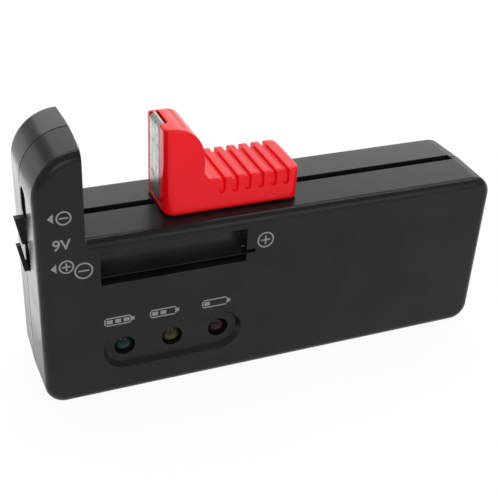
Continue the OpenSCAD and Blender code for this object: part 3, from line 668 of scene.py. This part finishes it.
@dataclass
class Slider:
    """The red slider with a rounded post, ribs, neck and foot, in millimetres."""

    left: float = -26.0
    right: float = 5.4
    base: float = 41.8
    low_top: float = 49.1
    top: float = 61.6
    post_right: float = -17.1
    half_depth: float = 8.2
    taper: float = 0.5
    shoulder: float = 7.0
    blend: float = 2.0
    corner: float = 2.6
    front_edge: float = 0.8
    rear_edge: float = 1.4
    rear_radius: float = 5.2
    rear_corner: float = 4.0
    grooves: int = 6
    pitch: float = 3.02
    groove: float = 1.3
    groove_depth: float = 0.9
    groove_low: float = 45.5
    last_groove: float = 1.95
    core_round: float = 0.8
    neck_half: float = 0.85
    neck_inset: float = 2.2
    foot_half: float = 4.2
    foot_top: float = 39.2
    foot_inset: float = 2.0
    tongue: tuple[float, float] = (0.35, 1.05)
    recess_half: float = 3.4
    recess_depth: float = 0.45
    recess: tuple[float, float] = (42.8, 60.8)
    notch_depth: float = 1.85
    notch_low: float = 59.7
    tail_half: float = 0.95
    tail_depth: float = 1.75
    tail: tuple[float, float] = (42.85, 43.55)
    past: float = 2.0
    ceiling: float = 70.0
    skirt: float = 4.0
    near: float = 0.01
    coarse: tuple[float, int] = (0.3, 4)
    fine: tuple[float, int] = (0.2, 3)

    def _outline(self, deep: float) -> list[tuple[float, float]]:
        """The form seen from the front, down to a height below the base."""
        outline = [(self.left, deep), (self.left, self.top)]
        outline += arc(self.post_right - self.shoulder, self.top - self.shoulder, self.shoulder, 90, 0, 24)
        outline += arc(self.post_right + self.blend, self.low_top + self.blend, self.blend, 180, 270, 10)
        return outline + [(self.right, self.low_top), (self.right, deep)]

    def _rim(self, shape: bmesh.types.BMesh, side: int, deep: float) -> list[bmesh.types.BMEdge]:
        """The edges around the front or rear face, without those of the ends and the underside."""
        def all_at(edge: bmesh.types.BMEdge, axis: int, place: float) -> bool:
            """Whether a whole edge lies at a place on an axis."""
            return all(abs(v.co[axis] - place * MM) < self.near * MM for v in edge.verts)

        return [e for e in shape.edges if all_at(e, 1, side * self.half_depth)
                and not (all_at(e, 2, deep) or all_at(e, 0, self.left) or all_at(e, 0, self.right))]

    def _body(self) -> bpy.types.Object:
        """The outer form, rounded along every edge above the base."""
        deep = self.base - self.skirt
        shape = drawn_out(self._outline(deep), 1, -self.half_depth, self.half_depth)
        for side, round_by in ((-1, self.front_edge), (1, self.rear_edge)):
            bmesh.ops.bevel(shape, geom=self._rim(shape, side, deep), offset=round_by * MM, segments=6, profile=0.5,
                            affect="EDGES", material=-1)
        body = to_object("slider_body", shape)
        plan = []
        for cx, cy, start, r in ((self.right, 1, 0, self.corner), (self.left, 1, 90, self.rear_corner),
                                 (self.left, -1, 180, self.corner), (self.right, -1, 270, self.corner)):
            plan += arc(cx - math.copysign(r, cx), cy * (self.half_depth - r), r, start, start + 90, 10)
        combine(body, to_object("plan", drawn_out(plan, 2, deep - 1, self.top + 1)), "INTERSECT")
        lean = self.taper * (self.base - deep) / (self.top - self.base)
        low, high = self.half_depth + lean, self.half_depth - self.taper
        r = self.rear_radius
        sides = [(-low, deep), (-high, self.top)] + arc(high - r, self.top - r, r, 90, 0, 16) + [(low, deep)]
        combine(body, to_object("sides", drawn_out(sides, 0, self.left - 1, self.right + 1)), "INTERSECT")
        return ease(body, *self.coarse)

    def _groove(self, x: float) -> bpy.types.Object:
        """One groove over the top and down both sides, with a rounded lower end."""
        r = self.groove / 2
        above = self.low_top + self.past
        outline = [(x - r, above)] + arc(x, self.groove_low + r, r, 180, 360, 8) + [(x + r, above)]
        cut = to_object("groove", drawn_out(outline, 1, -self.half_depth - 1, self.half_depth + 1))
        inner = self.half_depth - self.groove_depth - 0.15
        core = box((x - self.past, -inner, self.base), (x + self.past, inner, self.low_top - self.groove_depth))
        edges = [e for e in core.edges if abs(e.verts[0].co.x - e.verts[1].co.x) > MM]
        bmesh.ops.bevel(core, geom=edges, offset=self.core_round * MM, segments=5, profile=0.5, affect="EDGES",
                        material=-1)
        return combine(cut, to_object("core", core), "DIFFERENCE")

    def _blocks(self, foot_low: float) -> list[tuple[str, str, tuple, tuple]]:
        """The neck, tongue and foot that are added, then the hollows for the pad.

        Args:
            foot_low: the foot's underside.

        Returns:
            Each block's name, its boolean and its two corners.
        """
        left, out = self.left, self.left - self.past
        return [
            ("neck", "UNION", (left + self.neck_inset, -self.neck_half, foot_low + 0.5),
             (self.right - self.foot_inset, self.neck_half, self.base + 1)),
            ("tongue", "UNION", (left + self.tongue[0], -self.neck_half, self.foot_top),
             (left + self.tongue[1], self.neck_half, self.base + 1)),
            ("foot", "UNION", (left + self.foot_inset, -self.foot_half, foot_low),
             (self.right - self.foot_inset, self.foot_half, self.foot_top)),
            ("recess", "DIFFERENCE", (out, -self.recess_half, self.recess[0]),
             (left + self.recess_depth, self.recess_half, self.recess[1])),
            ("notch", "DIFFERENCE", (out, -self.recess_half, self.notch_low),
             (left + self.notch_depth, self.recess_half, self.ceiling)),
            ("tail", "DIFFERENCE", (out, -self.tail_half, self.tail[0]),
             (left + self.tail_depth, self.tail_half, self.tail[1]))]

    def build(self, plastic: bpy.types.Material) -> bpy.types.Object:
        """Build the slider and let it stand for the frame's node."""
        body = self._body()
        wide = self.half_depth + self.past
        above = box((self.left - self.past, -wide, self.base), (self.right + self.past, wide, self.ceiling))
        combine(body, to_object("above", above), "INTERSECT")
        for i in range(self.grooves):
            combine(body, self._groove(self.last_groove - i * self.pitch), "DIFFERENCE")
        for name, operation, low, high in self._blocks(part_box("slider")[0].z / MM):
            combine(body, to_object(name, box(low, high)), operation)
        ease(body, *self.fine)
        dress(smooth(body), plastic)
        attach(body, Body.SLIDER.value)
        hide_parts("slider")
        LOG.info("slider_body: %d faces", len(body.data.polygons))
        return body


# ---------------------------------------------------------------- marks


@dataclass
class FrontMarks:
    """Printed marks on the front face: polarity rings, arrows, a plain 9V and level bars, in millimetres."""

    face: float = -12.5
    proud: float = 0.015
    stroke: float = 0.36
    rings: tuple = ((-48.73, 47.9, 1.62, Mark.MINUS), (-48.75, 36.3, 1.62, Mark.PLUS),
                    (-45.18, 34.69, 2.0, Mark.MINUS), (-4.17, 34.76, 2.0, Mark.PLUS))
    sign_reach: float = 1.15
    arrows: tuple = ((-51.45, 48.1), (-51.45, 36.25))
    arrow_half: tuple[float, float] = (0.6, 1.15)
    words: tuple = ("9V", -49.5, 41.6, 3.45)
    words_weight: float = 0.06
    levels: tuple = ((-38.2, 3), (-27.9, 2), (-15.7, 1))
    level_height: float = 20.3
    cell: tuple[float, float] = (6.2, 2.22)
    cell_line: float = 0.32
    cell_tip: tuple[float, float] = (0.6, 0.9)
    fill: tuple[float, float] = (1.35, 1.0)
    fill_pitch: float = 1.9
    parts: list = field(default_factory=list)

    def _plate(self, mesh: bmesh.types.BMesh) -> None:
        """Stand a flat shape in X and Z just proud of the face and keep it."""
        bmesh.ops.recalc_face_normals(mesh, faces=mesh.faces)
        for f in mesh.faces:
            if f.normal.y > 0:
                f.normal_flip()
        bmesh.ops.translate(mesh, vec=(0, (self.face - self.proud) * MM, 0), verts=mesh.verts)
        self.parts.append(to_object("mark", mesh))

    @staticmethod
    def _upright(x: float, z: float) -> Matrix:
        """The move that stands a flat shape up in X and Z about a centre."""
        return Matrix.Translation((x * MM, 0, z * MM)) @ Matrix.Rotation(math.pi / 2, 4, "X")

    def _flat(self, points: list[tuple[float, float]]) -> None:
        """Add a filled outline given in X and Z."""
        mesh = bmesh.new()
        mesh.faces.new([mesh.verts.new((x * MM, 0, z * MM)) for x, z in points])
        self._plate(mesh)

    def _bar(self, x: float, z: float, width: float, height: float) -> None:
        """Add a filled bar about a centre."""
        w, h = width / 2, height / 2
        self._flat([(x - w, z - h), (x + w, z - h), (x + w, z + h), (x - w, z + h)])

    def _ring(self, x: float, z: float, r: float) -> None:
        """Add a thin ring about a centre."""
        mesh = bmesh.new()
        bmesh.ops.create_circle(mesh, cap_ends=True, radius=r * MM, segments=64, matrix=self._upright(x, z))
        disc = list(mesh.faces)
        bmesh.ops.inset_region(mesh, faces=disc, thickness=self.stroke * MM, use_even_offset=True, use_boundary=True)
        bmesh.ops.delete(mesh, geom=disc, context="FACES")
        self._plate(mesh)

    def _words(self, text: str, x: float, z: float, size: float) -> None:
        """Add a short text as a mesh about a centre."""
        curve = bpy.data.curves.new("mark_text", "FONT")
        curve.body, curve.size = text, size * MM
        curve.align_x = curve.align_y = "CENTER"
        curve.offset = self.words_weight * MM
        obj = bpy.data.objects.new("mark_text", curve)
        bpy.context.scene.collection.objects.link(obj)
        bpy.context.view_layer.update()
        shown = obj.evaluated_get(bpy.context.evaluated_depsgraph_get())
        flat = bpy.data.meshes.new_from_object(shown)
        bpy.data.objects.remove(obj)
        mesh = bmesh.new()
        mesh.from_mesh(flat)
        bmesh.ops.transform(mesh, matrix=self._upright(x, z), verts=mesh.verts)
        self._plate(mesh)

    def _sign(self, x: float, z: float, r: float, kind: Mark) -> None:
        """Add a ring with a minus or a plus in it."""
        reach, line = r * self.sign_reach, self.stroke
        self._ring(x, z, r)
        self._bar(x, z, reach, line)
        if kind is Mark.PLUS:
            away, arm = (reach / 2 + line / 2) / 2, reach / 2 - line / 2
            self._bar(x, z + away, line, arm)
            self._bar(x, z - away, line, arm)

    def _level(self, x: float, z: float, filled: int) -> None:
        """Add a small cell outline with a number of filled bars."""
        wide, high = self.cell
        line = self.cell_line
        side, rim = (wide - line) / 2, (high - line) / 2
        for dx, dz, w, h in ((0, rim, wide, line), (0, -rim, wide, line), (-side, 0, line, high),
                             (side, 0, line, high)):
            self._bar(x + dx, z + dz, w, h)
        self._bar(x + wide / 2 + self.cell_tip[0] / 2, z, *self.cell_tip)
        for i in range(filled):
            self._bar(x + (i - 1) * self.fill_pitch, z, *self.fill)

    def build(self, ink: bpy.types.Material) -> bpy.types.Object:
        """Build every mark as one piece that rides on the case."""
        for place in self.rings:
            self._sign(*place)
        wide, high = self.arrow_half
        for x, z in self.arrows:
            self._flat([(x - wide, z), (x + wide, z - high), (x + wide, z + high)])
        self._words(*self.words)
        for x, filled in self.levels:
            self._level(x, self.level_height, filled)
        mesh = bmesh.new()
        for part in self.parts:
            mesh.from_mesh(part.data)
            bpy.data.objects.remove(part)
        marks = to_object("printed_marks", mesh)
        dress(marks, ink)
        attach(marks, Body.CASE.value)
        LOG.info("printed_marks: %d faces", len(marks.data.polygons))
        return marks


# ---------------------------------------------------------------- studio


@dataclass(frozen=True)
class Panel:
    """A rectangular soft light, in metres.

    Attributes:
        name: the light's name.
        place: its centre.
        size: its width and height.
        glow: the brightness of its face, where white paper has 1.
        aim: the point that it faces.
    """

    name: str
    place: tuple[float, float, float]
    size: tuple[float, float]
    glow: float
    aim: tuple[float, float, float] = (0.0, 0.0, 0.03)

    def build(self) -> None:
        """Put up the light, unseen by the camera."""
        data = bpy.data.lights.new(self.name, "AREA")
        data.shape, data.size, data.size_y = "RECTANGLE", *self.size
        data.energy = self.glow * math.pi * self.size[0] * self.size[1]
        light = bpy.data.objects.new(self.name, data)
        bpy.context.scene.collection.objects.link(light)
        way = Vector(self.aim) - Vector(self.place)
        light.matrix_world = Matrix.Translation(self.place) @ way.to_track_quat("-Z", "Y").to_matrix().to_4x4()
        light.visible_camera = False


@dataclass
class Studio:
    """Camera, pale floor, white surroundings and soft lights."""

    place: tuple[float, float, float] = (-80.638, -178.474, 145.498)
    turn: tuple[float, float, float] = (0.555423, -0.051539, -0.403639)
    lens: float = 69.325
    shift: tuple[float, float] = (0.0158, -0.0030)
    floor_size: float = 15.0
    paper: Colour = grey(0.9)
    floor_white: float = 1.02
    floor_share: float = 0.92
    world_light: float = 0.5
    panels: tuple[Panel, ...] = (
        Panel("back_panel", (0.22, 0.62, 0.34), (1.1, 0.44), 1.3),
        Panel("left_panel", (-0.52, 0.62, 0.16), (0.3, 0.2), 0.8),
        Panel("low_left_panel", (-0.1, 0.07, 0.002), (0.08, 0.12), 1.0, (-0.1, 0.07, 1.0)),
        Panel("top_strip", (0.15, 0.3, 0.7), (1.2, 0.05), 11.0),
        Panel("camera_panel", (-0.42, -0.95, 0.62), (0.7, 0.5), 2.2),
        Panel("bay_panel", (0.42, -0.92, 0.52), (0.5, 0.7), 1.5))

    def camera(self) -> None:
        """Create the camera and make it the scene's."""
        pitch, roll, yaw = self.turn
        frame = Matrix.Rotation(yaw, 3, "Z") @ Matrix.Rotation(-pitch, 3, "X") @ Matrix.Rotation(roll, 3, "Y")
        right, ahead, up = frame.col[0], frame.col[1], frame.col[2]
        data = bpy.data.cameras.new("camera")
        data.lens, data.sensor_width, data.clip_start = self.lens, 36.0, 0.01
        data.shift_x, data.shift_y = self.shift
        camera = bpy.data.objects.new("camera", data)
        bpy.context.scene.collection.objects.link(camera)
        turned = Matrix((right, up, -ahead)).transposed().to_4x4()
        camera.matrix_world = Matrix.Translation(Vector(self.place) * MM) @ turned
        bpy.context.scene.camera = camera

    def floor(self) -> None:
        """Lay a wide pale floor that the camera and reflections see as white, with the object's shadow."""
        mesh = bmesh.new()
        bmesh.ops.create_grid(mesh, x_segments=8, y_segments=8, size=self.floor_size)
        floor = to_object("floor", mesh)
        material, graph, shader = start_material("floor_paper", {"Base Color": self.paper, "Roughness": 0.9})
        rays = graph.add("LightPath")
        seen = graph.math("MAXIMUM", rays.outputs["Is Camera Ray"], rays.outputs["Is Glossy Ray"])
        seen = graph.math("MAXIMUM", seen, rays.outputs["Is Transmission Ray"])
        white = graph.add("Emission", {"Color": grey(1.0), "Strength": self.floor_white})
        mixed = graph.add("MixShader", {0: graph.math("MULTIPLY", seen, self.floor_share), 1: shader.outputs[0],
                                        2: white.outputs[0]})
        graph.feed(graph.nodes["Material Output"], {"Surface": mixed.outputs[0]})
        dress(floor, material)

    def world(self) -> None:
        """White surroundings that light the object softly."""
        world = bpy.data.worlds.new("studio")
        world.use_nodes = True
        soft = world.node_tree.nodes["Background"]
        soft.inputs["Color"].default_value = grey(1.0)
        soft.inputs["Strength"].default_value = self.world_light
        bpy.context.scene.world = world

    def build(self) -> None:
        """Put up the whole studio."""
        self.camera()
        self.floor()
        self.world()
        for panel in self.panels:
            panel.build()
        bpy.context.scene.view_settings.view_transform = "Standard"


# ---------------------------------------------------------------- dressing


@dataclass
class Tester:
    """The whole tester: carried-over nodes with better finishes, and the new pieces.

    Attributes:
        nodes: the frame's nodes by name.
        effects: the node groups that the finishes share.
        wire: the length of a resistor's bare lead at either end, in millimetres.
        small_body: the length of a small resistor's body, in millimetres.
        lamps: each lamp's deep resin colour and the paler colour painted as light in its lower half.
    """

    nodes: dict
    effects: SharedEffects
    wire: float = 1.4
    small_body: float = 6.2
    contacts: tuple[str, ...] = ("tower_contact", "slider_contact", "contact_rail", "nine_volt_negative_contact",
                                 "nine_volt_positive_contact", "button_cell_negative_contact",
                                 "button_cell_positive_contact")
    black_leads: tuple[str, ...] = ("tower_lead", "nine_volt_leads", "button_cell_leads")
    # Each lamp: its deep resin colour and the paler painted light of its lower half.
    lamps: tuple[tuple[str, Colour, Colour], ...] = (
        ("led_green", (0.002, 0.011, 0.010, 1.0), (0.013, 0.038, 0.040, 1.0)),
        ("led_yellow", (0.024, 0.021, 0.004, 1.0), (0.062, 0.056, 0.020, 1.0)),
        ("led_red", (0.013, 0.003, 0.006, 1.0), (0.030, 0.010, 0.016, 1.0)))

    def dress_nodes(self, names: tuple[str, ...], material: bpy.types.Material) -> None:
        """Give a finish to some of the frame's nodes."""
        for name in names:
            dress(self.nodes[name], material)
            LOG.info("%s: %s", name, material.name)

    @staticmethod
    def _place(name: str) -> tuple[Vector, Vector]:
        """The two corners of a node's box in millimetres."""
        low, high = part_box(name)
        return Vector(low) / MM, Vector(high) / MM

    def _dress_resistors(self) -> None:
        """Give both kinds of resistors their lacquer and bands."""
        brown, red, gold = (0.09, 0.03, 0.012, 1.0), (0.5, 0.02, 0.015, 1.0), (0.42, 0.27, 0.06, 1.0)
        low, high = self._place("small_resistors")
        pitch = high.x - low.x - self.small_body - 2 * self.wire
        small = BandedBody("small_resistor_lacquer", (0.62, 0.45, 0.26, 1.0),
                           ((-2.2, brown), (-1.1, red), (0.0, brown), (2.1, gold)),
                           low.x + self.wire + self.small_body / 2, self.small_body / 2, pitch)
        self.dress_nodes(("small_resistors",), small.build(self.effects))
        low, high = self._place("load_resistors")
        load = BandedBody("load_resistor_lacquer", (0.30, 0.37, 0.34, 1.0),
                          ((-4.0, grey(0.2)), (-2.2, brown), (-0.4, gold), (3.6, gold)),
                          (low.x + high.x) / 2, (high.x - low.x) / 2 - self.wire, band=0.95, roughness=0.45)
        self.dress_nodes(("load_resistors",), load.build(self.effects))

    def _dress_electronics(self) -> None:
        """Give the board, the parts on it and the leads their own finishes."""
        low, high = self._place("circuit_board")
        self.dress_nodes(("circuit_board",), CoatedBoard("board_mask", low.y, high.y).build(self.effects))
        self._dress_resistors()
        low, high = self._place("capacitor")
        can = SleevedCan("capacitor_sleeve", ((low.x + high.x) / 2, (low.z + high.z) / 2), high.y,
                         (high.x - low.x) / 2)
        self.dress_nodes(("capacitor",), can.build(self.effects))
        low, high = self._place("choke")
        self.dress_nodes(("choke",), WoundCore("choke_winding", low.y, high.y).build(self.effects))
        resin = MouldedPlastic("chip_resin", (0.012, 0.012, 0.013, 1.0), (0.03, 0.03, 0.032, 1.0), 0.5)
        self.dress_nodes(("control_chip",), resin.build(self.effects))
        black = MouldedPlastic("lead_black", (0.02, 0.02, 0.021, 1.0), (0.04, 0.04, 0.042, 1.0), 0.38, wear=0.5)
        self.dress_nodes(self.black_leads, black.build(self.effects))
        red = MouldedPlastic("lead_red", (0.42, 0.012, 0.012, 1.0), (0.55, 0.03, 0.025, 1.0), 0.38, wear=0.5)
        self.dress_nodes(("rail_lead",), red.build(self.effects))

    def _dress_lamps(self) -> None:
        """Give each lamp its tinted resin about its own axis."""
        board = self._place("circuit_board")[0].y
        for name, deep, pale in self.lamps:
            low, high = self._place(name)
            centre = ((low.x + high.x) / 2, (low.z + high.z) / 2)
            self.dress_nodes((name,), LampLens(name + "_lens", deep, pale, centre, board).build())

    def build(self) -> None:
        """Dress every node and build every new piece."""
        black = MouldedPlastic("case_black", (0.008, 0.008, 0.009, 1.0), (0.014, 0.014, 0.015, 1.0), 0.2,
                               spread=0.07, specular=0.2)
        self.dress_nodes(("front_shell", "rear_shell"), black.build(self.effects))
        self.dress_nodes(self.contacts, PlatedStrip("nickel").build(self.effects))
        steel = PlatedStrip("screw_steel", (0.5, 0.5, 0.51, 1.0), (0.3, 0.3, 0.31, 1.0), 0.3)
        self.dress_nodes(("case_screws", "board_screws"), steel.build(self.effects))
        self._dress_electronics()
        self._dress_lamps()
        red = MouldedPlastic("slider_red", (0.86, 0.003, 0.009, 1.0), (0.92, 0.005, 0.012, 1.0), 0.14, grain=0.0006,
                             wear=0.4, edge=0.0001, specular=0.22)
        Slider().build(red.build(self.effects))
        FrontMarks().build(PrintedInk("mark_ink").build(self.effects))


def main() -> None:
    """Load the frame, dress it and put up the studio."""
    logging.basicConfig(level=logging.INFO, format="%(message)s")
    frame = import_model()
    Tester(frame["nodes"], SharedEffects()).build()
    Studio().build()


if __name__ == "__main__":
    main()
